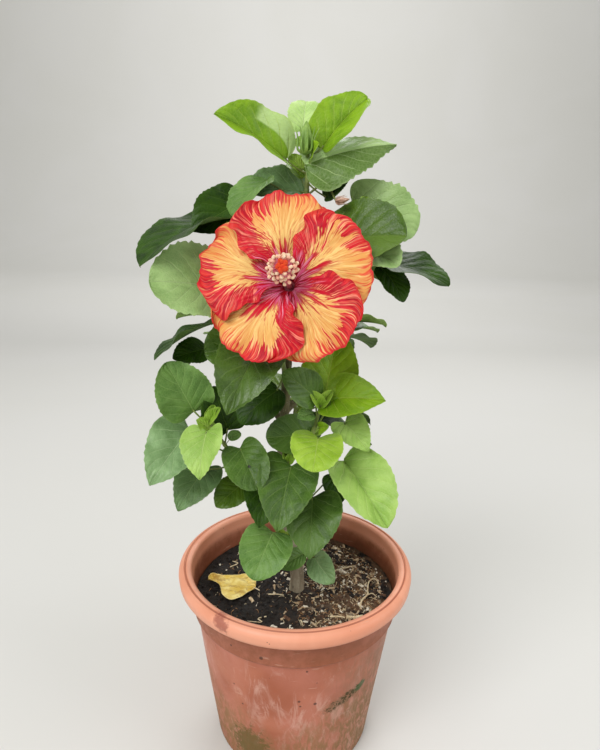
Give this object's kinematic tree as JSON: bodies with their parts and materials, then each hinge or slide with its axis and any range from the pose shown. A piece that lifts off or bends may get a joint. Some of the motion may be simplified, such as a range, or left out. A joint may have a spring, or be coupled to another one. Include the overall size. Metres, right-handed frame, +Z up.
{
  "type": "potted hibiscus shrub",
  "caption": "Potted hibiscus shrub with a large open flower, broad green leaves on a slender woody stem, and a round rolled-rim pot filled with soil.",
  "frame": {"origin": "centre of the pot's flat underside", "axes": "+Z up along the pot's axis; -Y is the side that the open flower faces"},
  "size_m": [0.3447, 0.3069, 0.8079],
  "materials": {
    "pot": "weathered terracotta-coloured plastic, satin with chalky scuffs and green algae",
    "soil": "damp dark potting mix with pale chips and fibre",
    "bark": "grey-tan bark with fine lengthwise relief",
    "leaf": "glossy green leaf with pale veins and a paler underside",
    "calyx": "satin fresh green",
    "petal": "velvety golden orange with crimson margins and a mauve base",
    "column": "pink column with cream anthers and orange-red stigma pads",
    "shed_leaf": "dry yellow leaf"
  },
  "bodies": {
    "root": {"pot": "pot", "soil": "soil", "trunk": "bark", "bough_upper_left": "bark", "bough_upper_right": "bark", "bough_mid_left": "bark", "bough_mid_right": "bark", "bough_back_low": "bark", "bough_back_left": "bark", "bough_back_right": "bark", "bough_back_upper": "bark", "bough_back_high": "bark", "foliage_crown": "leaf", "foliage_upper_left": "leaf", "foliage_upper_right": "leaf", "foliage_under_bloom": "leaf", "foliage_mid_left": "leaf", "foliage_mid_right": "leaf", "foliage_front": "leaf", "foliage_low": "leaf", "foliage_back_low": "leaf", "foliage_back_left": "leaf", "foliage_back_right": "leaf", "foliage_back_upper": "leaf", "foliage_back_high": "leaf", "bloom_calyx": "calyx", "bloom_petal_1": "petal", "bloom_petal_2": "petal", "bloom_petal_3": "petal", "bloom_petal_4": "petal", "bloom_petal_5": "petal", "bloom_column": "column", "fallen_leaf": "shed_leaf"}
  },
  "joints": []
}
